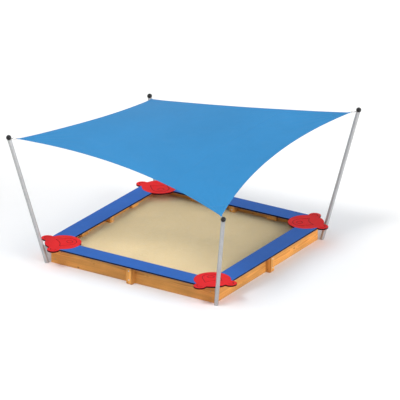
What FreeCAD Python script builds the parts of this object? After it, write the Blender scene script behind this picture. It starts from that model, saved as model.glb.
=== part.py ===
"""Square sandbox with a timber frame, seat boards, bear-head corner seats and a four-point shade sail.

Frame: millimetres, +Z up, origin on the ground at the middle of the sandbox.
The front side faces -Y, the right side +X.  Corners are numbered anticlockwise from the front left one.
"""
import FreeCAD, Part
import math
import os

V = FreeCAD.Vector
Z_AXIS = V(0, 0, 1)
DIAGONAL = math.sqrt(2.0)

SIDES = ["front", "right", "back", "left"]
CORNERS = ["front_left", "front_right", "back_right", "back_left"]

# Timber frame
FRAME_W = 3000.0          # outer width of the square of boards
BOARD_T = 45.0
BOARD_H = 290.0
TIMBER_EDGE_R = 4.0       # rounding of planed timber edges
MITRE_GAP = 8.6           # slot between two board ends, which takes the gusset plate
POST_W = 95.0             # square timber posts at mid side, outside and inside
POST_FOOT_CHAMFER = 18.0
BLOCK_W = 170.0           # seat blocks on the inner faces of the boards
BLOCK_D = 60.0
BLOCK_H = 100.0
BLOCK_OFFSET = 710.0
SAND_TOP = 180.0

# Seats: coloured plastic board with a black core
SEAT_W = 310.0
SEAT_T = 25.0
SEAT_OVERHANG = 140.0     # beyond the outer face of the side board
SEAT_GAP = 1.0            # round the corner seats
SEAT_EDGE_R = 3.0

# Corner seats: bear head, level with the seats, its ears towards the pole
BEAR_OFFSET = 1370.0      # x and y of the head's reference point
HEAD_R = 283.0
HEAD_SHIFT = -10.0        # centre of the head circle, outward along the diagonal
EAR_R = 98.0
EAR_U = 237.0
EAR_V = 188.0
EAR_BLEND_R = 16.0
GROOVE_W = 8.0
GROOVE_DEPTH = 3.0
MUZZLE_R = 140.0
MUZZLE_V = -85.0          # centre of the round end of the muzzle line
MUZZLE_TIP = (135.0, 85.0)
MUZZLE_DIP = 45.0
NOSE_V = -115.0
NOSE_HALF_W = 54.0
NOSE_HALF_H = 50.0
EAR_LINE_R = 50.0

# Poles: steel tube leaning outward along the diagonal
TUBE_R = 31.75
TUBE_WALL = 3.6
POLE_FOOT = 1546.0        # x and y of the tube axis at the ground
HIGH_BALL = (1944.0, 2112.0)   # x (and y) and height of the ball centre, front left and back right
LOW_BALL = (1885.0, 1586.0)    # the same, front right and back left
BALL_R = 40.0
BALL_FLAT = 31.0          # ball centre to the flat it stands on
HEAD_PLATE_R = 33.5
HEAD_PLATE_T = 6.0
LUG_HOLE_AT = 48.0        # pole axis to the centre of the sail hole
LUG_HOLE_R = 8.5
LUG_END_R = 13.0
STUD_R = 6.0
BASE_PLUG_H = 10.0

# Corner brackets: gusset plate on the diagonal, with two flanges and a shelf inside the boards
GUSSET_T = 8.0
GUSSET_TOP = 286.0
FLANGE_T = 6.0
FLANGE_L = 120.0
FLANGE_FOOT = 25.0
SHELF_L = 170.0           # legs of the shelf that carries the corner seat

# Fasteners
POST_BOLT_Z = (74.0, 223.0)
POST_BOLT_R = 6.0
POST_HEAD_R = 12.0
POST_HEAD_H = 7.0
BRACKET_BOLT_Z = (75.0, 180.0)
BRACKET_BOLT_AT = 83.0    # distance from the outer corner
BRACKET_BOLT_R = 5.0
HOLE_CLEARANCE = 0.4
SCREW_R = 4.0
SCREW_HEAD_R = 8.0
SCREW_HEAD_H = 4.0
BLOCK_SCREW_AT = 50.0
SEAT_SCREW_AT = 20.0
BEAR_SCREWS = [(1425.0, 1340.0), (1340.0, 1425.0), (1400.0, 1400.0)]

# Shade sail
SAIL_T = 3.0
SAIL_BOW = 250.0          # inward curve of each edge at its middle
SAIL_RISE = 62.0          # upward curve of each edge at its middle
SAIL_GRID = 17
SAIL_TIP_CUT = 14.0       # fabric ends this far inside its theoretical tip
PULL_HIGH = 8.3           # degrees below level from the high poles towards the middle
PULL_LOW = -12.0          # above level from the low poles

# Sail fittings, measured along the pull line from the wire in the lug hole
LUG_WIRE_AT = 49.5        # pole axis to the centre of the carabiner wire
HOOK_WIRE_R = 3.5
HOOK_END_R = 10.5         # centre line of the round ends
HOOK_LENGTH = 63.0        # centre line, end to end
GATE_PIVOT = 14.3
GATE_TIP = 52.2
GATE_STEP = 45.7
NOSE_START = 46.3
GATE_SLOT_END = 18.1
GATE_END_R = 3.4
TAB_HALF_T = 1.5
TAB_R = 3.2
SLOT_HALF_W = 1.8
PIN_R = 1.5
PIN_CLEARANCE = 0.05
LAP = 0.15                # half the gap between gate and nose
RING_WIRE_R = 3.0
RING_BOW_R = 20.0
RING_CORNER_R = 5.0
RING_AT = 56.2            # centre of the ring wire inside the carabiner
RING_BAR = RING_AT + RING_BOW_R + RING_CORNER_R
TAB_WIDTH = 28.0
TAB_THICK = 4.0
TAB_EYE_R = 5.0
TIP_AT = RING_BAR - TAB_EYE_R


def box(x0, y0, z0, x1, y1, z1):
    """Box between two corners."""
    return Part.makeBox(x1 - x0, y1 - y0, z1 - z0, V(x0, y0, z0))


def prism(points, z0, z1):
    """Upright prism on a polygon of (x, y) points."""
    corners = [V(x, y, z0) for x, y in points]
    outline = Part.makePolygon(corners + corners[:1])
    return Part.Face(outline).extrude(V(0, 0, z1 - z0))


def rod(radius, start, end):
    """Round bar between two points."""
    return Part.makeCylinder(radius, (end - start).Length, start, end - start)


def spin(shape, quarter):
    """Turn a shape about the vertical axis by quarter turns."""
    turned = shape.copy()
    turned.rotate(V(0, 0, 0), Z_AXIS, 90.0 * quarter)
    return turned


def to_corner(shape, corner):
    """Place a shape built along +X, the outward diagonal, on its corner."""
    turned = shape.copy()
    turned.rotate(V(0, 0, 0), Z_AXIS, 225.0 + 90.0 * corner)
    return turned


def round_edges(shape, radius, wanted):
    """Round the edges for which wanted(edge) is true."""
    return shape.makeFillet(radius, [edge for edge in shape.Edges if wanted(edge)])


def at_height(edge, z):
    """True for an edge that lies level at height z."""
    limits = edge.BoundBox
    return abs(limits.ZMin - z) < 0.01 and abs(limits.ZMax - z) < 0.01


def domed_head(radius, height):
    """Mushroom bolt head on the plane z = 0, rising along +Z."""
    sphere_r = (radius ** 2 + height ** 2) / (2.0 * height)
    ball = Part.makeSphere(sphere_r, V(0, 0, height - sphere_r))
    return ball.common(Part.makeCylinder(radius + 1.0, height))


def hex_nut(across_flats, height, hole_r):
    """Nut on the plane z = 0, rising along +Z."""
    corner_r = across_flats / math.sqrt(3.0)
    points = [(corner_r * math.cos(a), corner_r * math.sin(a)) for a in [math.radians(60.0 * i) for i in range(6)]]
    flange = Part.makeCylinder(across_flats * 0.62, height * 0.2)
    return prism(points, 0.0, height).fuse(flange).cut(Part.makeCylinder(hole_r, height))


def point_along(shape, direction, position):
    """Move a +Z shape so that it points along direction from position."""
    placed = shape.copy()
    placed.Placement = FreeCAD.Placement(position, FreeCAD.Rotation(Z_AXIS, direction))
    return placed


# Timber --------------------------------------------------------------------------------------------------

OUTER = FRAME_W / 2.0
INNER = OUTER - BOARD_T


def post_bores():
    """Bores for the two long bolts of the front mid posts."""
    radius = POST_BOLT_R + HOLE_CLEARANCE
    start_y = -OUTER - POST_W - 1.0
    end_y = -INNER + POST_W + 1.0
    return [rod(radius, V(0, start_y, z), V(0, end_y, z)) for z in POST_BOLT_Z]


def bracket_bores():
    """Bores through the front board and the flanges behind it."""
    radius = BRACKET_BOLT_R + HOLE_CLEARANCE
    bores = []
    for x in (-OUTER + BRACKET_BOLT_AT, OUTER - BRACKET_BOLT_AT):
        for z in BRACKET_BOLT_Z:
            bores.append(rod(radius, V(x, -OUTER - 1.0, z), V(x, -INNER + FLANGE_T + 1.0, z)))
    return bores


def block_screw_places():
    """Places (x, z) of the screws that hold the front blocks to the board."""
    z = BOARD_H - BLOCK_H / 2.0
    return [(b + s, z) for b in (-BLOCK_OFFSET, BLOCK_OFFSET) for s in (-BLOCK_SCREW_AT, BLOCK_SCREW_AT)]


def seat_screw_places():
    """Places (x, y) of the upright screws through the front blocks into the seat."""
    y = -INNER + BLOCK_D / 2.0
    return [(b + s, y) for b in (-BLOCK_OFFSET, BLOCK_OFFSET) for s in (-SEAT_SCREW_AT, SEAT_SCREW_AT)]


def block_screw_shanks(radius):
    tip_y = -INNER - BOARD_T * 0.75
    head_y = -INNER + BLOCK_D
    return [rod(radius, V(x, tip_y, z), V(x, head_y, z)) for x, z in block_screw_places()]


def seat_screw_shanks(radius):
    head_z = BOARD_H - BLOCK_H
    tip_z = BOARD_H + SEAT_T * 0.7
    return [rod(radius, V(x, y, head_z), V(x, y, tip_z)) for x, y in seat_screw_places()]


def bear_screw_shanks(radius):
    """Screws that rise through the bracket's shelf into the front left corner seat."""
    head_z = BOARD_H - FLANGE_T
    tip_z = BOARD_H + SEAT_T * 0.7
    return [rod(radius, V(-x, -y, head_z), V(-x, -y, tip_z)) for x, y in BEAR_SCREWS]


def side_board():
    """Front board, mitred at both ends round the gusset plates."""
    slot = MITRE_GAP / 2.0 * DIAGONAL
    outer_x = OUTER - slot
    inner_x = INNER - slot
    outline = [(-outer_x, -OUTER), (outer_x, -OUTER), (inner_x, -INNER), (-inner_x, -INNER)]
    board = prism(outline, 0.0, BOARD_H)
    board = round_edges(board, TIMBER_EDGE_R, lambda e: at_height(e, BOARD_H) and e.Length > FRAME_W / 2.0)
    holes = post_bores() + bracket_bores() + block_screw_shanks(SCREW_R + HOLE_CLEARANCE)
    return board.cut(holes)


def outer_post():
    """Post outside the front board, with a chamfered foot."""
    half = POST_W / 2.0
    post = box(-half, -OUTER - POST_W, 0.0, half, -OUTER, BOARD_H)
    front_y = -OUTER - POST_W
    foot = [e for e in post.Edges if at_height(e, 0.0) and abs(e.BoundBox.YMax - front_y) < 0.01]
    post = post.makeChamfer(POST_FOOT_CHAMFER, foot)
    upright = [e for e in post.Edges if e.BoundBox.ZLength > BOARD_H / 2.0 and e.BoundBox.YMax < -OUTER - 1.0]
    return post.makeFillet(TIMBER_EDGE_R, upright).cut(post_bores())


def inner_post():
    """Post inside the front board."""
    half = POST_W / 2.0
    post = box(-half, -INNER, 0.0, half, -INNER + POST_W, BOARD_H)
    post = round_edges(post, TIMBER_EDGE_R,
                       lambda e: e.BoundBox.ZLength > BOARD_H / 2.0 and e.BoundBox.YMin > -INNER + 1.0)
    return post.cut(post_bores())


def seat_blocks():
    """The two blocks under the front seat, inside the board."""
    holes = block_screw_shanks(SCREW_R + HOLE_CLEARANCE) + seat_screw_shanks(SCREW_R + HOLE_CLEARANCE)
    blocks = []
    for centre in (-BLOCK_OFFSET, BLOCK_OFFSET):
        half = BLOCK_W / 2.0
        block = box(centre - half, -INNER, BOARD_H - BLOCK_H, centre + half, -INNER + BLOCK_D, BOARD_H)
        block = round_edges(block, TIMBER_EDGE_R,
                            lambda e: at_height(e, BOARD_H - BLOCK_H) and e.BoundBox.YMin > -INNER + 1.0)
        blocks.append(block.cut(holes))
    return Part.makeCompound(blocks)


# Plastic seats -------------------------------------------------------------------------------------------

SEAT_OUTER = OUTER + SEAT_OVERHANG
SEAT_INNER = SEAT_OUTER - SEAT_W
SEAT_TOP = BOARD_H + SEAT_T


def is_crease(edge, grow):
    """True where two of the corner seat's round walls meet in a hollow corner."""
    x, y = edge.Vertexes[0].X, edge.Vertexes[0].Y
    on_head = abs(math.hypot(x - HEAD_SHIFT, y) - HEAD_R - grow) < 0.01
    on_ear = abs(math.hypot(x - EAR_V, abs(y) - EAR_U) - EAR_R - grow) < 0.01
    return on_head and on_ear


def bear_blank(grow):
    """Bear head without its details, grown all round, about its reference point on the diagonal."""
    head = Part.makeCylinder(HEAD_R + grow, SEAT_T, V(HEAD_SHIFT, 0, BOARD_H))
    for side in (-1.0, 1.0):
        head = head.fuse(Part.makeCylinder(EAR_R + grow, SEAT_T, V(EAR_V, side * EAR_U, BOARD_H)))
    head = head.removeSplitter()
    creases = [e for e in head.Edges if len(e.Vertexes) == 2 and e.BoundBox.ZLength > SEAT_T - 0.1
               and e.Curve.TypeId == "Part::GeomLine" and is_crease(e, grow)]
    return head.makeFillet(EAR_BLEND_R - grow, creases)


def place_bear(shape, corner):
    moved = shape.copy()
    moved.translate(V(BEAR_OFFSET * DIAGONAL, 0, 0))
    return to_corner(moved, corner)


def seat_board():
    """Front seat board, its ends cut hollow to fit round the corner seats."""
    seat = box(-SEAT_INNER, -SEAT_OUTER, BOARD_H, SEAT_INNER, -SEAT_INNER, SEAT_TOP)
    seat = round_edges(seat, SEAT_EDGE_R, lambda e: at_height(e, SEAT_TOP) and e.Length > FRAME_W / 2.0)
    ends = [place_bear(bear_blank(SEAT_GAP), corner) for corner in (0, 1)]
    seat = seat.cut(seat_screw_shanks(SCREW_R + HOLE_CLEARANCE) + ends)
    return max(seat.Solids, key=lambda solid: solid.Volume)


def groove(path):
    """Solid of a groove that runs along a flat wire just under the corner seat's top."""
    ribbon = path.makeOffset2D(GROOVE_W, 0, True, True)
    return ribbon.extrude(V(0, 0, GROOVE_DEPTH + 1.0))


def bear_grooves():
    """Muzzle line, nose and ear lines.  Local x is outward along the diagonal, y runs across the head."""
    z = SEAT_TOP - GROOVE_DEPTH

    def p(u, v):
        return V(v, u, z)

    tip_u, tip_v = MUZZLE_TIP
    top = Part.Arc(p(-tip_u, tip_v), p(0, MUZZLE_DIP), p(tip_u, tip_v)).toShape()
    right = Part.makeLine(p(tip_u, tip_v), p(MUZZLE_R, MUZZLE_V))
    chin = Part.Arc(p(MUZZLE_R, MUZZLE_V), p(0, MUZZLE_V - MUZZLE_R), p(-MUZZLE_R, MUZZLE_V)).toShape()
    left = Part.makeLine(p(-MUZZLE_R, MUZZLE_V), p(-tip_u, tip_v))
    muzzle_outer = Part.Wire([top, right, chin, left])
    muzzle_inner = muzzle_outer.makeOffset2D(-GROOVE_W, 0, False, False)
    muzzle = Part.Face(muzzle_outer).cut(Part.Face(muzzle_inner)).extrude(V(0, 0, GROOVE_DEPTH + 1.0))

    def oval(grow):
        ellipse = Part.Ellipse(V(NOSE_V, 0, z), NOSE_HALF_W + grow, NOSE_HALF_H + grow)
        outline = ellipse.toShape()
        outline.rotate(V(NOSE_V, 0, z), Z_AXIS, 90.0)
        return Part.Face(Part.Wire([outline]))

    nose = oval(0.0).cut(oval(-GROOVE_W)).extrude(V(0, 0, GROOVE_DEPTH + 1.0))
    ears = []
    for side in (-1.0, 1.0):
        centre = V(EAR_V, side * EAR_U, z)
        middle = math.degrees(math.atan2(side * EAR_U, EAR_V))
        ring = Part.makeCylinder(EAR_LINE_R, GROOVE_DEPTH + 1.0, centre, Z_AXIS, 200.0)
        hole = Part.makeCylinder(EAR_LINE_R - GROOVE_W, GROOVE_DEPTH + 2.0, centre, Z_AXIS)
        arc = ring.cut(hole)
        arc.rotate(centre, Z_AXIS, middle - 100.0)
        ears.append(arc)
    return [muzzle, nose] + ears


def corner_seat(corner):
    """Bear-head seat with a rounded rim and its engraved lines."""
    head = bear_blank(0.0)
    rim = [e for e in head.Edges if at_height(e, SEAT_TOP)]
    head = head.makeFillet(SEAT_EDGE_R, rim).cut(bear_grooves())
    return place_bear(head, corner).cut([spin(s, corner) for s in bear_screw_shanks(SCREW_R + HOLE_CLEARANCE)])


# Poles and brackets --------------------------------------------------------------------------------------

class Pole:
    """Axis of one pole in the vertical plane of its diagonal: x outward, z up."""

    def __init__(self, corner):
        ball_xy, ball_z = HIGH_BALL if corner % 2 == 0 else LOW_BALL
        self.foot = V(POLE_FOOT * DIAGONAL, 0, 0)
        self.ball = V(ball_xy * DIAGONAL, 0, ball_z)
        self.length = (self.ball - self.foot).Length
        self.lean = math.degrees(math.atan2(self.ball.x - self.foot.x, self.ball.z))
        self.pull = PULL_HIGH if corner % 2 == 0 else PULL_LOW

    def place(self, shape):
        """Lean a shape built about the z axis from the foot."""
        turn = FreeCAD.Rotation(V(0, 1, 0), self.lean)
        leaned = shape.copy()
        leaned.Placement = FreeCAD.Placement(self.foot, turn)
        return leaned

    def along(self, x, z):
        """Point given in the pole's own leaning frame."""
        return self.foot + FreeCAD.Rotation(V(0, 1, 0), self.lean).multVec(V(x, 0, z))

    def fitting(self):
        """Placement of the sail fittings: local x along the pull line, z across it and upward."""
        plate_middle = self.length - BALL_FLAT - HEAD_PLATE_T / 2.0
        turn = FreeCAD.Rotation(V(0, 1, 0), -self.pull).multiply(FreeCAD.Rotation(Z_AXIS, 180.0))
        return FreeCAD.Placement(self.along(-LUG_WIRE_AT, plate_middle), turn)

    def place_fitting(self, shape):
        placed = shape.copy()
        placed.Placement = self.fitting()
        return placed


def pole_tube(pole):
    """Leaning tube, cut level at the ground."""
    top = pole.length - BALL_FLAT - HEAD_PLATE_T
    start = V(0, 0, -2.0 * TUBE_R)
    tube = rod(TUBE_R, start, V(0, 0, top)).cut(rod(TUBE_R - TUBE_WALL, start, V(0, 0, top)))
    ground = box(0, -OUTER, -OUTER, 2.0 * FRAME_W, OUTER, 0.0)
    return pole.place(tube).cut(ground)


def base_plug(pole):
    """Plug in the foot of the tube."""
    core = rod(TUBE_R - TUBE_WALL, V(0, 0, -2.0 * TUBE_R), V(0, 0, 4.0 * TUBE_R))
    slab = box(0, -OUTER, 0.0, 2.0 * FRAME_W, OUTER, BASE_PLUG_H)
    return pole.place(core).common(slab)


def head_plate(pole):
    """Plate welded on the tube, with an ear that takes the carabiner."""
    z0 = pole.length - BALL_FLAT - HEAD_PLATE_T
    plate = Part.makeCylinder(HEAD_PLATE_R, HEAD_PLATE_T, V(0, 0, z0))
    ear = box(-LUG_HOLE_AT, -LUG_END_R, z0, 0.0, LUG_END_R, z0 + HEAD_PLATE_T)
    ear_end = Part.makeCylinder(LUG_END_R, HEAD_PLATE_T, V(-LUG_HOLE_AT, 0, z0))
    plate = plate.fuse([ear, ear_end]).removeSplitter()
    sail_hole = Part.makeCylinder(LUG_HOLE_R, HEAD_PLATE_T, V(-LUG_HOLE_AT, 0, z0))
    stud_hole = Part.makeCylinder(STUD_R, HEAD_PLATE_T, V(0, 0, z0))
    return pole.place(plate.cut([sail_hole, stud_hole]))


def ball_stud(pole):
    """Threaded stud in the head plate, which the ball screws on to."""
    z0 = pole.length - BALL_FLAT
    return pole.place(rod(STUD_R, V(0, 0, z0 - 3.0 * HEAD_PLATE_T), V(0, 0, z0 + BALL_R - 5.0)))


def ball_cap(pole):
    """Black ball with a flat foot and a blind threaded hole."""
    centre = V(0, 0, pole.length)
    flat = pole.length - BALL_FLAT
    ball = Part.makeSphere(BALL_R, centre)
    below = Part.makeCylinder(BALL_R * 2.0, BALL_R, V(0, 0, flat - BALL_R))
    bore = Part.makeCylinder(STUD_R, BALL_R, V(0, 0, flat))
    return pole.place(ball.cut([below, bore]))


def corner_bracket(pole, corner):
    """Gusset plate on the diagonal, welded to the tube, with flanges and a shelf inside the two boards."""
    inner_end = (INNER - FLANGE_T) * DIAGONAL
    slope = math.tan(math.radians(pole.lean))
    outline = [V(inner_end, 0, 0), V(pole.foot.x, 0, 0),
               V(pole.foot.x + slope * GUSSET_TOP, 0, GUSSET_TOP), V(inner_end, 0, GUSSET_TOP)]
    plate = Part.Face(Part.makePolygon(outline + outline[:1])).extrude(V(0, GUSSET_T, 0))
    plate.translate(V(0, -GUSSET_T / 2.0, 0))
    tube = pole.place(rod(TUBE_R, V(0, 0, -2.0 * TUBE_R), V(0, 0, GUSSET_TOP * 2.0)))
    plate = to_corner(plate.cut(tube), corner)
    front = box(-INNER, -INNER, FLANGE_FOOT, -INNER + FLANGE_L, -INNER + FLANGE_T, BOARD_H)
    side = box(-INNER, -INNER, FLANGE_FOOT, -INNER + FLANGE_T, -INNER + FLANGE_L, BOARD_H)
    shelf = prism([(-INNER, -INNER), (-INNER + SHELF_L, -INNER), (-INNER, -INNER + SHELF_L)],
                  BOARD_H - FLANGE_T, BOARD_H)
    inside = front.fuse([side, shelf])
    bracket = plate.fuse(spin(inside, corner)).removeSplitter()
    holes = [spin(bore, corner) for bore in bracket_bores()] + [spin(bore, corner + 3) for bore in bracket_bores()]
    holes += [spin(shank, corner) for shank in bear_screw_shanks(SCREW_R + HOLE_CLEARANCE)]
    return bracket.cut(holes)


# Fasteners -----------------------------------------------------------------------------------------------

def post_bolts():
    bolts = []
    front_y = -OUTER - POST_W
    for z in POST_BOLT_Z:
        shank = rod(POST_BOLT_R, V(0, front_y, z), V(0, -INNER + POST_W + 16.0, z))
        head = point_along(domed_head(POST_HEAD_R, POST_HEAD_H), V(0, -1, 0), V(0, front_y, z))
        bolts.append(shank.fuse(head))
    return bolts


def post_nuts():
    nut = hex_nut(19.0, 11.0, POST_BOLT_R)
    return [point_along(nut, V(0, 1, 0), V(0, -INNER + POST_W, z)) for z in POST_BOLT_Z]


def bracket_bolt_places():
    """Outer points of the bracket bolts on the front board."""
    return [V(x, -OUTER, z) for x in (-OUTER + BRACKET_BOLT_AT, OUTER - BRACKET_BOLT_AT) for z in BRACKET_BOLT_Z]


def bracket_bolts():
    bolts = []
    reach = V(0, BOARD_T + FLANGE_T + 14.0, 0)
    for place in bracket_bolt_places():
        head = point_along(domed_head(11.0, 5.5), V(0, -1, 0), place)
        bolts.append(rod(BRACKET_BOLT_R, place, place + reach).fuse(head))
    return bolts


def bracket_nuts():
    nut = hex_nut(16.0, 9.0, BRACKET_BOLT_R)
    seat = V(0, BOARD_T + FLANGE_T, 0)
    return [point_along(nut, V(0, 1, 0), place + seat) for place in bracket_bolt_places()]


def with_heads(shanks, direction, ends):
    """Screws: each shank with a domed head at its end."""
    screws = []
    for shank, end in zip(shanks, ends):
        head = point_along(domed_head(SCREW_HEAD_R, SCREW_HEAD_H), direction, end)
        screws.append(shank.fuse(head))
    return screws


def block_screws():
    ends = [V(x, -INNER + BLOCK_D, z) for x, z in block_screw_places()]
    return with_heads(block_screw_shanks(SCREW_R), V(0, 1, 0), ends)


def seat_screws():
    ends = [V(x, y, BOARD_H - BLOCK_H) for x, y in seat_screw_places()]
    return with_heads(seat_screw_shanks(SCREW_R), V(0, 0, -1), ends)


def corner_seat_screws():
    ends = [V(-x, -y, BOARD_H - FLANGE_T) for x, y in BEAR_SCREWS]
    return with_heads(bear_screw_shanks(SCREW_R), V(0, 0, -1), ends)


# Sail and its fittings -----------------------------------------------------------------------------------

def sail_tip(pole):
    """Theoretical tip of the fabric, in the plane of the diagonal."""
    return pole.fitting().multVec(V(TIP_AT, 0, 0))


def sail_point(u, v):
    """Middle surface of the sail; u and v run from -1 to 1 along X and Y."""
    high = sail_tip(Pole(0))
    low = sail_tip(Pole(1))
    mean_xy = (high.x + low.x) / 2.0 / DIAGONAL
    skew_xy = (high.x - low.x) / 2.0 / DIAGONAL
    x = u * mean_xy + v * skew_xy - SAIL_BOW * u * (1.0 - v * v)
    y = v * mean_xy + u * skew_xy - SAIL_BOW * v * (1.0 - u * u)
    twist = u * v * (high.z - low.z) / 2.0
    crown = ((1.0 - v * v) * (1.0 + 2.0 * u * u) + (1.0 - u * u) * (1.0 + 2.0 * v * v)) / 3.0
    return V(x, y, (high.z + low.z) / 2.0 + twist + SAIL_RISE * crown)


def shade_sail():
    """Saddle-shaped sheet with curved edges, its corners cut square for the webbing tabs."""
    steps = [-1.0 + 2.0 * i / (SAIL_GRID - 1) for i in range(SAIL_GRID)]
    surface = Part.BSplineSurface()
    surface.interpolate([[sail_point(u, v) for v in steps] for u in steps])
    sheet = surface.toShape()
    sheet.translate(V(0, 0, -SAIL_T / 2.0))
    sheet = sheet.extrude(V(0, 0, SAIL_T))
    cuts = []
    for corner in range(4):
        pole = Pole(corner)
        block = box(-OUTER, -OUTER, -OUTER, TIP_AT + SAIL_TIP_CUT, OUTER, OUTER)
        cuts.append(to_corner(pole.place_fitting(block), corner))
    return sheet.cut(cuts)


def round_wire_sweep(path, radius, start, direction):
    """Sweep a circle along a wire."""
    profile = Part.Wire([Part.Circle(start, direction, radius).toShape()])
    return path.makePipeShell([profile], True, False)


def ring_shape():
    """D ring: bow inside the carabiner, straight bar in the webbing."""
    bow_x = RING_AT + RING_BOW_R
    bar_y = RING_BOW_R - RING_CORNER_R
    knuckle = RING_CORNER_R * (1.0 - math.sqrt(0.5))
    bow = Part.Arc(V(bow_x, RING_BOW_R, 0), V(RING_AT, 0, 0), V(bow_x, -RING_BOW_R, 0)).toShape()
    lower = Part.Arc(V(bow_x, -RING_BOW_R, 0), V(RING_BAR - knuckle, -RING_BOW_R + knuckle, 0),
                     V(RING_BAR, -bar_y, 0)).toShape()
    bar = Part.makeLine(V(RING_BAR, -bar_y, 0), V(RING_BAR, bar_y, 0))
    upper = Part.Arc(V(RING_BAR, bar_y, 0), V(RING_BAR - knuckle, RING_BOW_R - knuckle, 0),
                     V(bow_x, RING_BOW_R, 0)).toShape()
    return round_wire_sweep(Part.Wire([bow, lower, bar, upper]), RING_WIRE_R, V(bow_x, RING_BOW_R, 0), V(1, 0, 0))


def webbing_tab():
    """Webbing folded round the ring's bar, up to the cut edge of the fabric."""
    half = TAB_WIDTH / 2.0
    eye = rod(TAB_EYE_R, V(RING_BAR, -half, 0), V(RING_BAR, half, 0))
    band = box(RING_BAR, -half, -TAB_THICK / 2.0, TIP_AT + SAIL_TIP_CUT, half, TAB_THICK / 2.0)
    bar = rod(RING_WIRE_R, V(RING_BAR, -half - 1.0, 0), V(RING_BAR, half + 1.0, 0))
    return eye.fuse(band).cut(bar)


def carabiner():
    """Snap hook of bent wire, with a tab for the gate's pin and an overlapping nose."""
    r = HOOK_END_R
    far = HOOK_LENGTH - r
    lug_end = Part.Arc(V(r, 0, r), V(0, 0, 0), V(r, 0, -r)).toShape()
    spine = Part.makeLine(V(r, 0, -r), V(far, 0, -r))
    ring_end = Part.Arc(V(far, 0, -r), V(HOOK_LENGTH, 0, 0), V(far, 0, r)).toShape()
    hook = round_wire_sweep(Part.Wire([lug_end, spine, ring_end]), HOOK_WIRE_R, V(r, 0, r), V(1, 0, 0))
    tab = box(r - 0.5, -TAB_HALF_T, r - TAB_R, GATE_PIVOT, TAB_HALF_T, r + TAB_R)
    tab_end = rod(TAB_R, V(GATE_PIVOT, -TAB_HALF_T, r), V(GATE_PIVOT, TAB_HALF_T, r))
    outer_half = box(0, -r, r + LAP, HOOK_LENGTH, r, 2.0 * r)
    nose = rod(HOOK_WIRE_R, V(NOSE_START, 0, r), V(far, 0, r)).common(outer_half)
    pin_hole = rod(PIN_R, V(GATE_PIVOT, -r, r), V(GATE_PIVOT, r, r))
    return hook.fuse([tab, tab_end, nose]).cut(pin_hole)


def gate():
    """Gate of the carabiner, forked over the tab and stepped to lie under the nose."""
    r = HOOK_END_R
    bar = rod(HOOK_WIRE_R, V(r, 0, r), V(GATE_TIP, 0, r))
    body = box(GATE_PIVOT, -r, 0, HOOK_LENGTH, r, 2.0 * r)
    pivot_end = rod(GATE_END_R, V(GATE_PIVOT, -r, r), V(GATE_PIVOT, r, r))
    bar = bar.common(body.fuse(pivot_end))
    slot = box(0, -SLOT_HALF_W, 0, GATE_SLOT_END, SLOT_HALF_W, 2.0 * r)
    step = box(GATE_STEP, -r, r - LAP, HOOK_LENGTH, r, 2.0 * r)
    pin_hole = rod(PIN_R + PIN_CLEARANCE, V(GATE_PIVOT, -r, r), V(GATE_PIVOT, r, r))
    return bar.cut([slot, step, pin_hole])


def gate_pin():
    return rod(PIN_R, V(GATE_PIVOT, -HOOK_WIRE_R + 0.4, HOOK_END_R), V(GATE_PIVOT, HOOK_WIRE_R - 0.4, HOOK_END_R))


# Sand ----------------------------------------------------------------------------------------------------

def sand_fill(obstacles):
    """Sand between the boards, round everything that stands in it."""
    sand = box(-INNER, -INNER, 0.0, INNER, INNER, SAND_TOP).cut(obstacles)
    return max(sand.Solids, key=lambda solid: solid.Volume)


# Assembly ------------------------------------------------------------------------------------------------

def four_sides(shapes):
    """Copies of the front shapes on all four sides."""
    return [spin(shape, quarter) for quarter in range(4) for shape in shapes]


def build():
    """All nodes by name."""
    nodes = {}
    for quarter, side in enumerate(SIDES):
        nodes["side_board_" + side] = spin(side_board(), quarter)
        nodes["outer_post_" + side] = spin(outer_post(), quarter)
        nodes["inner_post_" + side] = spin(inner_post(), quarter)
        nodes["seat_blocks_" + side] = spin(seat_blocks(), quarter)
        nodes["seat_board_" + side] = spin(seat_board(), quarter)
    poles = [Pole(corner) for corner in range(4)]
    for corner, name in enumerate(CORNERS):
        pole = poles[corner]
        nodes["corner_seat_" + name] = corner_seat(corner)
        nodes["sail_pole_" + name] = to_corner(pole_tube(pole), corner)
        nodes["corner_bracket_" + name] = corner_bracket(pole, corner)
        nodes["ball_cap_" + name] = to_corner(ball_cap(pole), corner)
        nodes["carabiner_" + name] = to_corner(pole.place_fitting(carabiner()), corner)
        nodes["carabiner_gate_" + name] = to_corner(pole.place_fitting(gate()), corner)

    def at_poles(make):
        return Part.makeCompound([to_corner(make(pole), corner) for corner, pole in enumerate(poles)])

    def at_fittings(make):
        return at_poles(lambda pole: pole.place_fitting(make()))

    nodes["pole_head_plates"] = at_poles(head_plate)
    nodes["ball_cap_studs"] = at_poles(ball_stud)
    nodes["pole_base_plugs"] = at_poles(base_plug)
    nodes["carabiner_pins"] = at_fittings(gate_pin)
    nodes["sail_rings"] = at_fittings(ring_shape)
    nodes["sail_corner_tabs"] = at_fittings(webbing_tab)
    nodes["shade_sail"] = shade_sail()
    groups = {"post_bolts": post_bolts(), "post_nuts": post_nuts(), "bracket_bolts": bracket_bolts(),
              "bracket_nuts": bracket_nuts(), "block_screws": block_screws(), "seat_screws": seat_screws(),
              "corner_seat_screws": corner_seat_screws()}
    for name, shapes in groups.items():
        nodes[name] = Part.makeCompound(four_sides(shapes))
    standing = [nodes["inner_post_" + side] for side in SIDES]
    standing += [nodes["corner_bracket_" + name] for name in CORNERS]
    standing += [nodes[name] for name in ("post_bolts", "post_nuts", "bracket_bolts", "bracket_nuts")]
    nodes["sand_fill"] = sand_fill(standing)
    return nodes


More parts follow.
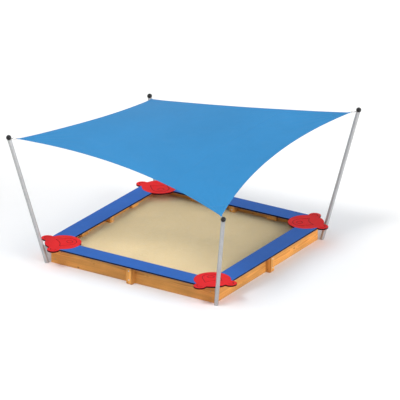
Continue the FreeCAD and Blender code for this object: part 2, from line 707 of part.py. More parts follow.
def main():
    os.makedirs("parts", exist_ok=True)
    for name, shape in build().items():
        if not shape.isValid() or any(solid.Volume <= 0.0 for solid in shape.Solids):
            print("check", name)
        shape.exportStep("parts/" + name + ".step")
        print(name, len(shape.Solids), round(shape.Volume / 1000.0, 2))
    for corner in range(4):
        pole = Pole(corner)
        tip = sail_tip(pole)
        print("pole", CORNERS[corner], round(pole.lean, 2), "tip", round(tip.x / DIAGONAL, 1), round(tip.z, 1))


main()
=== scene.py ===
"""Looks of the square sandbox with bear corner seats and a four-point shade sail.

The frame, seats, poles and fittings are the CAD nodes with procedural finishes.  The sail, its hems, seams,
reinforcements, webbing and stitching, and the sand, are built here in the space of their plain CAD solids.
Metres, Z up, front towards -Y, right towards +X.  Corners run anticlockwise from the front left one.
"""

import math
import random

import bmesh
import bpy
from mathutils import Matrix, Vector, noise


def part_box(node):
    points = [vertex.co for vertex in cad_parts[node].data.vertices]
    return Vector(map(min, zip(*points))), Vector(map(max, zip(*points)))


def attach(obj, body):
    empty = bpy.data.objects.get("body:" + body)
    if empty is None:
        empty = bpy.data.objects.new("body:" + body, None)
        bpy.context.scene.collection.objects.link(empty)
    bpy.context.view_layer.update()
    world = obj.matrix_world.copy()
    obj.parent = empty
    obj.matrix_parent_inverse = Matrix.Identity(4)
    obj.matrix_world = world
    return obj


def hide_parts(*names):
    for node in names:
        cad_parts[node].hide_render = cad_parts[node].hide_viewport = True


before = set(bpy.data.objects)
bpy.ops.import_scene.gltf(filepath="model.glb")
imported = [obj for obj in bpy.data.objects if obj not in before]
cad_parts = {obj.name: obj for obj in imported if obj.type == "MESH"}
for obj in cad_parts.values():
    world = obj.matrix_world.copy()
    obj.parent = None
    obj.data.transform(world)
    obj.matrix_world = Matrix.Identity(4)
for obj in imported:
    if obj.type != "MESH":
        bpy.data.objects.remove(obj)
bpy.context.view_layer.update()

SIDES = ["front", "right", "back", "left"]
CORNERS = {"front_left": (-1, -1), "front_right": (1, -1), "back_right": (1, 1), "back_left": (-1, 1)}
UP = Vector((0.0, 0.0, 1.0))

# Camera
VIEW_AZIMUTH = 32.55
VIEW_ELEVATION = 21.944
VIEW_TARGET = Vector((0.034, 0.372, 0.729))
VIEW_DISTANCE = 68.18
VIEW_LENS = 395.1
SENSOR_WIDTH = 36.0
CLIP_START = 1.0
CLIP_END = 500.0

# Studio
SKY_LOW = 0.74             # brightness of the studio walls
SKY_HIGH = 0.54            # and of its ceiling
SKY_FADE = (0.35, 0.85)    # sine of the elevation where the walls end and where the ceiling begins
UNDER_SIZE = 2.8           # square lamp that fills the shade under the sail
UNDER_HEIGHT = 1.45
UNDER_POWER = 9.5
FLOOR_SIZE = 400.0
FLOOR_DROP = 0.0005        # below the object's feet

# Soft boxes: (azimuth, elevation, strength, spread in degrees)
LAMPS = {
    "top_softbox": (-15.0, 56.0, 1.15, 20.0),
    "left_softbox": (-80.0, 30.0, 0.60, 45.0),
    "right_softbox": (88.0, 16.0, 2.25, 40.0),
}

# Colours
WOOD_EARLY = (0.70, 0.325, 0.078)
WOOD_LATE = (0.48, 0.180, 0.036)
WOOD_KNOT = (0.13, 0.045, 0.014)
WOOD_SOIL = (0.30, 0.20, 0.11)
SEAT_BLUE = (0.022, 0.116, 0.420)
BEAR_RED = (0.72, 0.007, 0.010)
CORE_BLACK = (0.0015, 0.0015, 0.0018)
CORE_WORN = (0.004, 0.004, 0.005)
SAND_DUST = (0.66, 0.55, 0.38)
ZINC_DIP = (0.470, 0.472, 0.478)
ZINC_PLATE = (0.66, 0.66, 0.64)
YELLOW_ZINC = (0.42, 0.31, 0.17)
STAINLESS = (0.70, 0.70, 0.71)
MOULDED_BLACK = (0.0050, 0.0045, 0.0055)
GREY_DUST = (0.07, 0.065, 0.06)
SAIL_BLUE = (0.034, 0.248, 0.545)
SAIL_GRIME = (0.30, 0.32, 0.30)
WEBBING_BLUE = (0.030, 0.255, 0.570)
THREAD_BLUE = (0.045, 0.27, 0.57)
SAND_BROWN = (0.70, 0.494, 0.236)
SAND_PALE = (0.89, 0.690, 0.385)
DARK_GRAIN = (0.20, 0.13, 0.08)
WHITE_GRAIN = (0.86, 0.80, 0.70)
FLOOR_WHITE = (0.93, 0.93, 0.93)

# Timber
RING_SPACING = 0.0055
KNOT_SHAPE = 0.62          # width of a knot over its length along the grain
SOIL_HEIGHT = 0.045        # earth splashes on the wood reach this high
BOARD_LENGTH = 2.9         # the part of a side board that knots are spread over
BOARD_HEIGHT = 0.27
POST_HEIGHT = 0.26
POST_WIDTH = 0.08

# Sheet of the seats
SHEET_CAP = 0.0015         # coloured layer on each face of the black core
CAP_BLUR = 0.0002          # half the width of the line between them

# Sail cloth
SAIL_BOW = 0.25            # inward curve of each edge at its middle
SAIL_RISE = 0.062          # upward curve of each edge at its middle
SAIL_CUT = 0.014           # the fabric ends this far inside its theoretical tip
SAIL_SIDE = 3.68           # side of the square that the cloth is cut from
CLOTH_T = 0.001
CLOTH_GRID = 176           # points along each side
WEAVE_PITCH = 0.0042
SAIL_GLOW = 0.04           # share of translucent shading in the fabric
HEM_W = 0.040
HEM_SCALE = 0.98           # narrows the hems a little
HEM_RISE = 0.0012          # hem surface above the middle of the cloth
HEM_STEPS = 200
HEM_END = 0.996            # in sail coordinates, where a hem stops short of the tip
HEM_ROWS = (0.16, 0.86)    # stitch rows, as shares of the hem's width
HEM_ROW_END = 0.972
SEAM_AT = 0.43             # in sail coordinates, from -1 to 1 across
SEAM_W = 0.020
SEAM_RISE = 0.0012
SEAM_END = 0.99
SEAM_ROWS = (-0.32, 0.32)  # stitch rows, as shares of the seam's width
SEAM_ROW_END = 0.976
PATCH_REACH = 0.17         # corner reinforcement, in sail coordinates
PATCH_RISE = 0.00095       # its surface above the middle of the cloth
PATCH_EDGE_RISE = 0.0004
PATCH_TIP = 0.004          # share of its reach that is left out at the very tip
PATCH_ROWS = 17            # points from the tip to the inner edge
PATCH_COLUMNS = 33         # and along the inner edge
PATCH_STITCHES = 36        # in one row along its inner edge
WRINKLE_H = 0.0022
WRINKLE_FADE = 0.28        # the creases are highest this far from a tip
WRINKLE_END = 6.0          # and end this many times further out
WRINKLE_RAYS = 30.0        # turn of the wave, in radians, for each radian round the tip
UNEVEN_H = 0.0010          # slow unevenness of the whole cloth
SURFACE_STEP = 1e-3        # in sail coordinates, for the direction of the surface

# Webbing at the sail's corners
WEB_HALF_W = 0.014
WEB_T = 0.0016
WEB_TAIL = 0.150
WEB_LIFT = 0.0026          # middle of a tail above the middle of the cloth
WEB_STEPS = 16             # along a tail
BAR_INSIDE_TIP = 0.005
BAR_WRAP_R = 0.0040
BEND_STEPS = 12            # round the bar
SPREAD_START = 0.012       # from the bar, where the tails begin to part round it
SPREAD_MIDDLE = 0.006

# Thread
STITCH_LENGTH = 0.0058
STITCH_PITCH = 0.0090
THREAD_R = 0.0005
BOX_START = 0.042          # the stitched box on the webbing begins this far from the tip
BOX_SHARE = 0.76           # of the webbing's width

# Sand
SAND_GRID = 220
SAND_SWELL = 0.0055
SAND_RIPPLE = 0.0022
SAND_CRUMB = 0.0007
RIPPLE_PITCH = 0.085
SAND_BASE = 0.002          # the bed's underside above that of its CAD solid


# ---------------------------------------------------------------------------
# Finishes
# ---------------------------------------------------------------------------

class Finish:
    """A procedural material, put together socket by socket."""

    def __init__(self, name, **plain):
        self.material = bpy.data.materials.new(name)
        self.material.use_nodes = True
        self.tree = self.material.node_tree
        self.tree.nodes.clear()
        self.shader = self.node("ShaderNodeBsdfPrincipled")
        for socket, value in plain.items():
            self.shader.inputs[socket.replace("_", " ")].default_value = value
        self.output = self.node("ShaderNodeOutputMaterial")
        self.tree.links.new(self.shader.outputs[0], self.output.inputs["Surface"])
        self.place = self.node("ShaderNodeTexCoord").outputs["Object"]

    def node(self, kind, **settings):
        made = self.tree.nodes.new(kind)
        for key, value in settings.items():
            setattr(made, key, value)
        return made

    def feed(self, socket, value):
        """Link a socket to another socket, or give it a plain value."""
        if isinstance(value, bpy.types.NodeSocket):
            self.tree.links.new(value, socket)
        else:
            socket.default_value = value

    def math(self, operation, *values):
        made = self.node("ShaderNodeMath", operation=operation)
        for socket, value in zip(made.inputs, values):
            self.feed(socket, value)
        return made.outputs[0]

    def vector(self, operation, *values):
        made = self.node("ShaderNodeVectorMath", operation=operation)
        for socket, value in zip(made.inputs, values):
            self.feed(socket, value)
        return made.outputs["Value" if operation in ("DISTANCE", "LENGTH", "DOT_PRODUCT") else "Vector"]

    def split(self, vector):
        made = self.node("ShaderNodeSeparateXYZ")
        self.feed(made.inputs[0], vector)
        return list(made.outputs)

    def join(self, x, y, z):
        made = self.node("ShaderNodeCombineXYZ")
        for socket, value in zip(made.inputs, (x, y, z)):
            self.feed(socket, value)
        return made.outputs[0]

    def stretched(self, vector, x, y, z):
        return self.vector("MULTIPLY", vector, (x, y, z))

    def noise(self, vector, scale, detail=2.0, roughness=0.5):
        made = self.node("ShaderNodeTexNoise")
        self.feed(made.inputs["Vector"], vector)
        for socket, value in (("Scale", scale), ("Detail", detail), ("Roughness", roughness)):
            made.inputs[socket].default_value = value
        return made.outputs[0]

    def cells(self, vector, scale):
        """A random colour for each cell."""
        made = self.node("ShaderNodeTexVoronoi")
        self.feed(made.inputs["Vector"], vector)
        made.inputs["Scale"].default_value = scale
        return made.outputs["Color"]

    def between(self, value, low, high, out_low=0.0, out_high=1.0, smooth=False):
        """Map low..high to out_low..out_high, clamped."""
        made = self.node("ShaderNodeMapRange", interpolation_type="SMOOTHSTEP" if smooth else "LINEAR")
        for socket, item in zip(made.inputs, (value, low, high, out_low, out_high)):
            self.feed(socket, item)
        return made.outputs[0]

    def blend(self, factor, first, second, mode="MIX"):
        made = self.node("ShaderNodeMix", data_type="RGBA", blend_type=mode)
        self.feed(made.inputs["Factor"], factor)
        for socket, value in ((made.inputs[6], first), (made.inputs[7], second)):
            self.feed(socket, (*value, 1.0) if isinstance(value, tuple) else value)
        return made.outputs[2]

    def grey(self, value):
        """A number as a neutral colour."""
        return self.join(value, value, value)

    def tinted(self, colour, value):
        """A colour made darker or lighter by a number near 1."""
        return self.blend(1.0, colour, self.grey(value), "MULTIPLY")

    def bumped(self, height, distance, strength):
        made = self.node("ShaderNodeBump")
        made.inputs["Distance"].default_value = distance
        made.inputs["Strength"].default_value = strength
        self.feed(made.inputs["Height"], height)
        self.feed(self.shader.inputs["Normal"], made.outputs[0])

    def done(self, colour, roughness=None):
        self.feed(self.shader.inputs["Base Color"], colour)
        if roughness is not None:
            self.feed(self.shader.inputs["Roughness"], roughness)
        return self.material


def timber(name, nodes, along, pith, knots=()):
    """Glazed pine: growth rings about a pith line, fibres, and knots as (along, across, radius).

    along is the axis of the grain.  pith is where the heart runs, across and in depth from the middle."""
    lows, highs = zip(*(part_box(n) for n in nodes))
    middle = [(min(l[i] for l in lows) + max(h[i] for h in highs)) / 2.0 for i in range(3)]
    order = {"X": (0, 2, 1), "Y": (1, 2, 0), "Z": (2, 0, 1)}[along]
    finish = Finish(name, Specular_IOR_Level=0.2)
    parts = finish.split(finish.vector("SUBTRACT", finish.place, tuple(middle)))
    run, across, depth = (parts[i] for i in order)
    local = finish.join(run, across, depth)
    drift = finish.noise(finish.stretched(local, 0.9, 5.0, 5.0), 1.0, 2.0)
    wander = finish.math("MULTIPLY_ADD", drift, 0.030, -0.015)
    radius = finish.vector("LENGTH", finish.join(
        0.0,
        finish.math("ADD", finish.math("SUBTRACT", across, pith[0]), wander),
        finish.math("ADD", finish.math("SUBTRACT", depth, pith[1]), wander)))
    bulge, heart = 0.0, 0.0
    flat = finish.join(finish.math("MULTIPLY", run, KNOT_SHAPE), across, 0.0)
    for knot_run, knot_across, knot_r in knots:
        apart = finish.vector("DISTANCE", flat, (knot_run * KNOT_SHAPE, knot_across, 0.0))
        ratio = finish.math("DIVIDE", apart, knot_r)
        swell = finish.math("EXPONENT", finish.math("MULTIPLY", finish.math("POWER", ratio, 2.0), -0.12))
        bulge = finish.math("MULTIPLY_ADD", swell, 0.016, bulge)
        rough_edge = finish.math("ADD", ratio, finish.math("MULTIPLY", finish.noise(local, 160.0), 0.25))
        heart = finish.math("MAXIMUM", heart, finish.between(rough_edge, 1.3, 0.95, smooth=True))
    phase = finish.math("DIVIDE", finish.math("ADD", radius, bulge), RING_SPACING)
    ring = finish.math("FRACT", phase)
    late = finish.math("MULTIPLY", finish.between(ring, 0.35, 0.92, smooth=True),
                       finish.between(ring, 1.0, 0.93))
    fibre = finish.noise(finish.stretched(local, 9.0, 420.0, 420.0), 1.0, 3.0, 0.6)
    streak = finish.noise(finish.stretched(local, 0.8, 16.0, 16.0), 1.0, 3.0, 0.55)
    stain = finish.noise(local, 2.3, 3.0)
    colour = finish.blend(finish.math("MULTIPLY", late, 0.72), WOOD_EARLY, WOOD_LATE)
    shade = finish.math("MULTIPLY", finish.between(streak, 0.30, 0.70, 0.78, 1.16),
                        finish.between(fibre, 0.25, 0.75, 0.93, 1.05))
    shade = finish.math("MULTIPLY", shade, finish.between(stain, 0.3, 0.7, 0.88, 1.08))
    colour = finish.tinted(colour, shade)
    soiled = finish.math("MULTIPLY", finish.between(finish.split(finish.place)[2], SOIL_HEIGHT, 0.0),
                         finish.between(finish.noise(finish.place, 24.0, 4.0), 0.35, 0.75, 0.1, 0.5))
    colour = finish.blend(soiled, colour, WOOD_SOIL)
    colour = finish.blend(finish.math("MULTIPLY", heart, 0.85), colour, WOOD_KNOT)
    height = finish.math("ADD", finish.math("MULTIPLY", late, -0.35), finish.math("MULTIPLY", fibre, 0.8))
    finish.bumped(height, 0.0006, 0.7)
    return finish.done(colour, finish.between(fibre, 0.2, 0.8, 0.46, 0.64))


def two_colour_sheet(name, nodes, colour):
    """Polyethylene sheet with a black core that shows on its edges and in its grooves."""
    low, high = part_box(nodes[0])
    finish = Finish(name, Specular_IOR_Level=0.08)
    height = finish.split(finish.place)[2]
    wobble = finish.math("MULTIPLY_ADD", finish.noise(finish.place, 55.0), 0.0006, -0.0003)
    height = finish.math("ADD", height, wobble)
    top = finish.between(height, high[2] - SHEET_CAP - CAP_BLUR, high[2] - SHEET_CAP + CAP_BLUR)
    base = finish.between(height, low[2] + SHEET_CAP + CAP_BLUR, low[2] + SHEET_CAP - CAP_BLUR)
    cap_mask = finish.math("MAXIMUM", top, base)
    mottle = finish.noise(finish.place, 3.1, 3.0)
    grain = finish.noise(finish.place, 620.0, 2.0, 0.55)
    scuffs = finish.noise(finish.stretched(finish.place, 34.0, 3.0, 20.0), 1.0, 4.0, 0.65)
    cross_scuffs = finish.noise(finish.stretched(finish.place, 3.0, 34.0, 20.0), 1.0, 4.0, 0.65)
    wear = finish.math("MAXIMUM", finish.between(scuffs, 0.66, 0.80),
                       finish.between(cross_scuffs, 0.66, 0.80))
    dust = finish.math("MULTIPLY", finish.between(finish.noise(finish.place, 11.0, 5.0, 0.6), 0.52, 0.78),
                       finish.between(grain, 0.40, 0.62))
    face = finish.tinted(finish.tinted(colour, finish.between(mottle, 0.3, 0.7, 0.95, 1.05)),
                         finish.between(grain, 0.3, 0.7, 0.97, 1.03))
    pale = tuple(0.75 * c + 0.16 for c in colour)
    face = finish.blend(finish.math("MULTIPLY", wear, 0.05), face, pale)
    face = finish.blend(finish.math("MULTIPLY", dust, 0.035), face, SAND_DUST)
    core = finish.blend(finish.between(grain, 0.35, 0.7), CORE_BLACK, CORE_WORN)
    finish.bumped(finish.math("ADD", grain, finish.math("MULTIPLY", wear, -0.4)), 0.0004, 0.55)
    rough = finish.math("ADD", finish.between(grain, 0.2, 0.8, 0.40, 0.52),
                        finish.math("MULTIPLY", wear, 0.12))
    return finish.done(finish.blend(cap_mask, core, face), rough)


def galvanised(name):
    """Hot-dip zinc: spangle in two sizes, runs down the steel, and dull patches."""
    finish = Finish(name, Metallic=1.0)
    warped = finish.vector("ADD", finish.place, finish.stretched(
        finish.join(*[finish.noise(finish.stretched(finish.place, *axis), 40.0) for axis in
                      ((1.0, 1.0, 1.0), (1.7, 1.7, 1.7), (2.3, 2.3, 2.3))]), 0.012, 0.012, 0.012))
    large = finish.split(finish.cells(warped, 62.0))[0]
    small = finish.split(finish.cells(warped, 150.0))[1]
    cloud = finish.noise(finish.place, 7.0, 4.0, 0.6)
    runs = finish.noise(finish.stretched(finish.place, 60.0, 60.0, 2.2), 1.0, 3.0)
    tone = finish.math("ADD", finish.math("MULTIPLY", large, 0.5), finish.math("MULTIPLY", small, 0.5))
    shade = finish.math("MULTIPLY", finish.between(tone, 0.1, 0.9, 0.88, 1.08),
                        finish.between(cloud, 0.3, 0.7, 0.90, 1.06))
    shade = finish.math("MULTIPLY", shade, finish.between(runs, 0.3, 0.7, 0.96, 1.04))
    finish.bumped(finish.math("ADD", tone, finish.math("MULTIPLY", runs, 0.6)), 0.0003, 0.35)
    rough = finish.math("ADD", finish.between(tone, 0.0, 1.0, 0.34, 0.52),
                        finish.between(cloud, 0.35, 0.75, 0.0, 0.12))
    return finish.done(finish.tinted(ZINC_DIP, shade), rough)


def plated_steel(name, colour, roughness, scratch):
    """Smooth steel, plated or plain, with fine handling scratches and faint stains."""
    finish = Finish(name, Metallic=1.0)
    lines = finish.noise(finish.stretched(finish.place, 90.0, 1400.0, 400.0), 1.0, 2.0)
    turned = finish.noise(finish.stretched(finish.place, 1400.0, 90.0, 400.0), 1.0, 2.0)
    marks = finish.math("MAXIMUM", lines, turned)
    stain = finish.noise(finish.place, 120.0, 3.0, 0.6)
    finish.bumped(marks, 0.0001, scratch)
    rough = finish.math("ADD", finish.between(stain, 0.3, 0.8, roughness, roughness + 0.14),
                        finish.between(marks, 0.5, 0.8, 0.0, 0.08))
    return finish.done(finish.tinted(colour, finish.between(stain, 0.3, 0.75, 1.04, 0.84)), rough)


def moulded_black(name, gloss):
    """Black moulded plastic with a fine skin and a little grey dust."""
    finish = Finish(name, Specular_IOR_Level=0.35)
    skin = finish.noise(finish.place, 900.0, 2.0)
    dust = finish.between(finish.noise(finish.place, 60.0, 5.0, 0.65), 0.50, 0.80)
    colour = finish.blend(finish.math("MULTIPLY", dust, 0.12), MOULDED_BLACK, GREY_DUST)
    finish.bumped(skin, 0.0002, 0.25)
    return finish.done(colour, finish.math("ADD", finish.between(skin, 0.2, 0.8, gloss, gloss + 0.08),
                                           finish.math("MULTIPLY", dust, 0.25)))


def cloth_coordinates(finish):
    """Warp and weft positions in metres, from the cloth's own map."""
    return finish.node("ShaderNodeUVMap", uv_map="cloth").outputs[0]


def woven(name, colour, glow):
    """Coated polyester weave: crossed threads and slight colour drift; glow lets a little light through."""
    finish = Finish(name, Sheen_Weight=0.02, Sheen_Roughness=0.45, Specular_IOR_Level=0.12)
    flat = cloth_coordinates(finish)
    warp, weft = finish.split(flat)[:2]
    turn = 2.0 * math.pi / WEAVE_PITCH
    over = finish.math("SINE", finish.math("MULTIPLY", warp, turn))
    under = finish.math("SINE", finish.math("MULTIPLY", weft, turn))
    threads = finish.math("MULTIPLY_ADD", finish.math("MULTIPLY", over, under), 0.5, 0.5)
    slub = finish.noise(finish.stretched(flat, 4.0, 260.0, 1.0), 1.0, 2.0)
    cross_slub = finish.noise(finish.stretched(flat, 260.0, 4.0, 1.0), 1.0, 2.0)
    drift = finish.noise(finish.place, 0.9, 3.0, 0.5)
    grime = finish.between(finish.noise(finish.place, 5.0, 5.0, 0.6), 0.50, 0.80)
    slubs = finish.between(finish.math("ADD", slub, cross_slub), 0.7, 1.3, 0.94, 1.05)
    shade = finish.math("MULTIPLY", slubs, finish.between(threads, 0.0, 1.0, 0.92, 1.05))
    shade = finish.math("MULTIPLY", shade, finish.between(drift, 0.3, 0.7, 0.95, 1.05))
    tone = finish.tinted(colour, shade)
    tone = finish.blend(finish.math("MULTIPLY", grime, 0.025), tone, SAIL_GRIME)
    finish.bumped(finish.math("ADD", threads, finish.math("MULTIPLY", slub, 0.4)), 0.0004, 0.5)
    material = finish.done(tone, finish.between(threads, 0.0, 1.0, 0.72, 0.60))
    if glow:
        through = finish.node("ShaderNodeBsdfTranslucent")
        finish.feed(through.inputs["Color"], tone)
        mixed = finish.node("ShaderNodeMixShader")
        mixed.inputs[0].default_value = glow
        finish.tree.links.new(finish.shader.outputs[0], mixed.inputs[1])
        finish.tree.links.new(through.outputs[0], mixed.inputs[2])
        finish.tree.links.new(mixed.outputs[0], finish.output.inputs["Surface"])
    return material


def webbing_finish(name, colour):
    """Polyester webbing: chevron ribs along its length."""
    finish = Finish(name, Sheen_Weight=0.04, Specular_IOR_Level=0.15)
    flat = cloth_coordinates(finish)
    run, side = finish.split(flat)[:2]
    slant = finish.math("ADD", run, finish.math("PINGPONG", side, 0.0035))
    rib = finish.math("MULTIPLY_ADD", finish.math("SINE", finish.math("MULTIPLY", slant, 3300.0)), 0.5, 0.5)
    fuzz = finish.noise(finish.stretched(flat, 300.0, 900.0, 1.0), 1.0, 2.0)
    tone = finish.tinted(colour, finish.between(rib, 0.0, 1.0, 0.78, 1.10))
    tone = finish.tinted(tone, finish.between(fuzz, 0.3, 0.7, 0.94, 1.05))
    finish.bumped(rib, 0.0005, 0.8)
    return finish.done(tone, finish.between(fuzz, 0.3, 0.7, 0.60, 0.78))


def thread_finish(name, colour):
    """Polyester thread, uneven like twisted fibres."""
    finish = Finish(name, Sheen_Weight=0.2)
    twist = finish.noise(finish.stretched(finish.place, 900.0, 900.0, 900.0), 1.0, 1.0)
    finish.bumped(twist, 0.0002, 0.5)
    return finish.done(finish.tinted(colour, finish.between(twist, 0.3, 0.7, 0.82, 1.12)),
                       finish.between(twist, 0.3, 0.7, 0.45, 0.65))


def play_sand(name):
    """Fine washed sand: brown to pale grains, a few dark and a few white ones, with painted light making it
    paler to the front left and painted shade making it darker to the back right.
    """
    finish = Finish(name, Specular_IOR_Level=0.25)
    grains = finish.split(finish.cells(finish.place, 620.0))
    fine = finish.noise(finish.place, 1500.0, 2.0, 0.6)
    drift = finish.noise(finish.place, 1.3, 4.0, 0.55)
    clump = finish.noise(finish.place, 34.0, 4.0, 0.6)
    tone = finish.blend(finish.between(grains[0], 0.25, 0.95), SAND_BROWN, SAND_PALE)
    tone = finish.blend(finish.between(grains[1], 0.955, 0.97), tone, DARK_GRAIN)
    tone = finish.blend(finish.between(grains[2], 0.93, 0.95), tone, WHITE_GRAIN)
    east, north = finish.split(finish.place)[:2]
    # painted light and shade: the sand is brightened towards the front left and darkened towards the back
    # right, where the sail shades it
    painted_light_gradient = finish.between(finish.math("ADD", east, north), -2.6, 2.6, 1.12, 0.91)
    shade = finish.math("MULTIPLY", finish.between(drift, 0.3, 0.7, 0.93, 1.05),
                        finish.between(clump, 0.3, 0.7, 0.94, 1.05))
    # the painted light and shade gradient goes into the sand's tone here
    shade = finish.math("MULTIPLY", shade, painted_light_gradient)
    shade = finish.math("MULTIPLY", shade, finish.between(fine, 0.3, 0.7, 0.90, 1.08))
    height = finish.math("ADD", finish.math("MULTIPLY", clump, 2.2), finish.math("ADD", grains[0], fine))
    finish.bumped(height, 0.0012, 0.8)
    return finish.done(finish.tinted(tone, shade), finish.between(fine, 0.2, 0.8, 0.86, 1.0))


def floor_finish():
    """Plain pale studio floor with a barely visible grain."""
    finish = Finish("floor_paper", Specular_IOR_Level=0.0, Roughness=1.0)
    grain = finish.noise(finish.place, 3.0, 2.0)
    return finish.done(finish.tinted(FLOOR_WHITE, finish.between(grain, 0.3, 0.7, 0.995, 1.0)))


# ---------------------------------------------------------------------------
# Mesh helpers
# ---------------------------------------------------------------------------

def piece(name, points, faces, material, uvs=None, body="frame"):
    """A smooth mesh object on a body, with its finish, its slot and, if given, the cloth's own map."""
    mesh = bpy.data.meshes.new(name)
    mesh.from_pydata([tuple(p) for p in points], [], faces)
    if uvs is not None:
        layer = mesh.uv_layers.new(name="cloth")
        for loop in mesh.loops:
            layer.data[loop.index].uv = uvs[loop.vertex_index]
    mesh.polygons.foreach_set("use_smooth", [True] * len(mesh.polygons))
    mesh.materials.append(material)
    obj = bpy.data.objects.new(name, mesh)
    bpy.context.scene.collection.objects.link(obj)
    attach(obj, body)
    return obj


def grid_faces(columns, rows, start=0):
    """Quads of a grid of points stored column by column."""
    return [(start + i * rows + j, start + (i + 1) * rows + j, start + (i + 1) * rows + j + 1,
             start + i * rows + j + 1) for i in range(columns - 1) for j in range(rows - 1)]


def tube_faces(rings, around, start=0):
    """Quads joining closed rings of points, with a face on each end."""
    faces = []
    for i in range(rings - 1):
        for j in range(around):
            k = (j + 1) % around
            faces.append((start + i * around + j, start + i * around + k,
                          start + (i + 1) * around + k, start + (i + 1) * around + j))
    last = start + (rings - 1) * around
    faces.append(tuple(start + j for j in reversed(range(around))))
    faces.append(tuple(last + j for j in range(around)))
    return faces


def furthest(node, direction):
    """The outermost place of a CAD node in a direction, as the middle of the points that reach it."""
    tolerance = 0.0002
    reach = [(v.co.dot(direction), v.co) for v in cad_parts[node].data.vertices]
    limit = max(r for r, _ in reach) - tolerance
    ends = [co for r, co in reach if r >= limit]
    return sum(ends, Vector()) / len(ends)


def trim_tip(obj, corner, closed):
    """Cut a sail piece square to the diagonal, where the fabric ends, and close the cut of a closed piece."""
    point, inward = TIP_CUTS[corner]
    mesh = bmesh.new()
    mesh.from_mesh(obj.data)
    cut = bmesh.ops.bisect_plane(mesh, geom=mesh.verts[:] + mesh.edges[:] + mesh.faces[:],
                                 plane_co=point, plane_no=-inward, clear_outer=True)
    rim = [e for e in cut["geom_cut"] if isinstance(e, bmesh.types.BMEdge)]
    if closed and rim and all(len(e.link_faces) == 1 for e in rim):
        bmesh.ops.edgeloop_fill(mesh, edges=rim)
    mesh.to_mesh(obj.data)
    mesh.free()


# ---------------------------------------------------------------------------
# Sail surface
# ---------------------------------------------------------------------------

def diagonal(corner):
    return Vector((*CORNERS[corner], 0.0)).normalized()


TIPS = {c: furthest("sail_corner_tabs", diagonal(c)) for c in CORNERS}
HIGH_TIP = TIPS["back_right"]
LOW_TIP = TIPS["front_right"]
MEAN_XY = (HIGH_TIP.x + LOW_TIP.x) / 2.0
SKEW_XY = (HIGH_TIP.x - LOW_TIP.x) / 2.0
MEAN_Z = (HIGH_TIP.z + LOW_TIP.z) / 2.0
TWIST_Z = (HIGH_TIP.z - LOW_TIP.z) / 2.0


def plain_point(u, v):
    """Smooth middle surface of the sail; u and v run from -1 to 1 along X and Y."""
    x = u * MEAN_XY + v * SKEW_XY - SAIL_BOW * u * (1.0 - v * v)
    y = v * MEAN_XY + u * SKEW_XY - SAIL_BOW * v * (1.0 - u * u)
    crown = ((1.0 - v * v) * (1.0 + 2.0 * u * u) + (1.0 - u * u) * (1.0 + 2.0 * v * v)) / 3.0
    return Vector((x, y, MEAN_Z + u * v * TWIST_Z + SAIL_RISE * crown))


def wrinkle(x, y):
    """Height of the tension creases that fan out from the tips, and of a slight unevenness."""
    height = UNEVEN_H * noise.noise((1.3 * x, 1.3 * y, 4.2))
    for corner, tip in TIPS.items():
        out = diagonal(corner)
        back = (tip.x - x) * out.x + (tip.y - y) * out.y
        side = (tip.x - x) * out.y - (tip.y - y) * out.x
        far = math.hypot(back, side) / WRINKLE_FADE
        if far < WRINKLE_END:
            spread = WRINKLE_RAYS * math.atan2(side, max(back, 1e-6))
            height += WRINKLE_H * far * math.exp(1.0 - far) * math.cos(spread + 0.6 * math.sin(0.31 * spread))
    return height


def cloth_point(u, v, lift=0.0):
    """A point of the creased cloth, raised along its normal."""
    here = plain_point(u, v)
    ahead = plain_point(u + SURFACE_STEP, v) - here
    beside = plain_point(u, v + SURFACE_STEP) - here
    normal = ahead.cross(beside).normalized()
    return here + normal * (lift + wrinkle(here.x, here.y))


def flat_place(u, v):
    """Where a point of the cloth lies in the flat cut, in metres."""
    return (u * SAIL_SIDE / 2.0, v * SAIL_SIDE / 2.0)


def tip_param(corner, distance):
    """Sail coordinate, back from 1, at a distance from the tip along the diagonal."""
    sx, sy = CORNERS[corner]
    step = 0.01
    speed = (plain_point(sx, sy) - plain_point(sx * (1.0 - step), sy * (1.0 - step))).length / step
    return distance / speed


def on_diagonal(corner, distance, lift=0.0, side=0.0):
    """A cloth point at a distance in from a tip, and to one side of the diagonal."""
    sx, sy = CORNERS[corner]
    back = tip_param(corner, distance)
    step = side / MEAN_XY / math.sqrt(2.0)
    return cloth_point(sx * (1.0 - back) - sy * step, sy * (1.0 - back) + sx * step, lift)


TIP_CUTS = {}
for corner_name in CORNERS:
    cut_at = on_diagonal(corner_name, SAIL_CUT)
    TIP_CUTS[corner_name] = (cut_at, (on_diagonal(corner_name, SAIL_CUT + 0.02) - cut_at).normalized())


def sail_cloth(material):
    """The fabric itself: one curved sheet with creases towards its tips, cut off square at each of them."""
    steps = [-1.0 + 2.0 * i / (CLOTH_GRID - 1) for i in range(CLOTH_GRID)]
    pairs = [(u, v) for u in steps for v in steps]
    cloth = piece("sail_cloth", [cloth_point(u, v) for u, v in pairs], grid_faces(CLOTH_GRID, CLOTH_GRID),
                  material, [flat_place(u, v) for u, v in pairs])
    for corner in CORNERS:
        trim_tip(cloth, corner, closed=False)
    thick = cloth.modifiers.new("cloth thickness", "SOLIDIFY")
    thick.thickness = CLOTH_T
    thick.offset = 0.0
    return cloth


# A hem folded round the edge: (distance in from the edge as a share of the hem, height above the cloth)
HEM_SECTION = [(1.0, 0.00045), (0.995, 0.0010), (0.96, HEM_RISE), (0.5, HEM_RISE), (0.06, HEM_RISE),
               (0.02, 0.0009), (0.0, 0.0), (0.02, -0.0009), (0.06, -HEM_RISE), (0.5, -HEM_RISE),
               (0.96, -HEM_RISE), (0.995, -0.0010), (1.0, -0.00045)]


def edge_place(side, t, inward):
    """Sail coordinates of a point on one edge, t from -1 to 1 along it, and in from it."""
    return {"front": (t, inward - 1.0), "right": (1.0 - inward, t),
            "back": (-t, 1.0 - inward), "left": (inward - 1.0, -t)}[side]


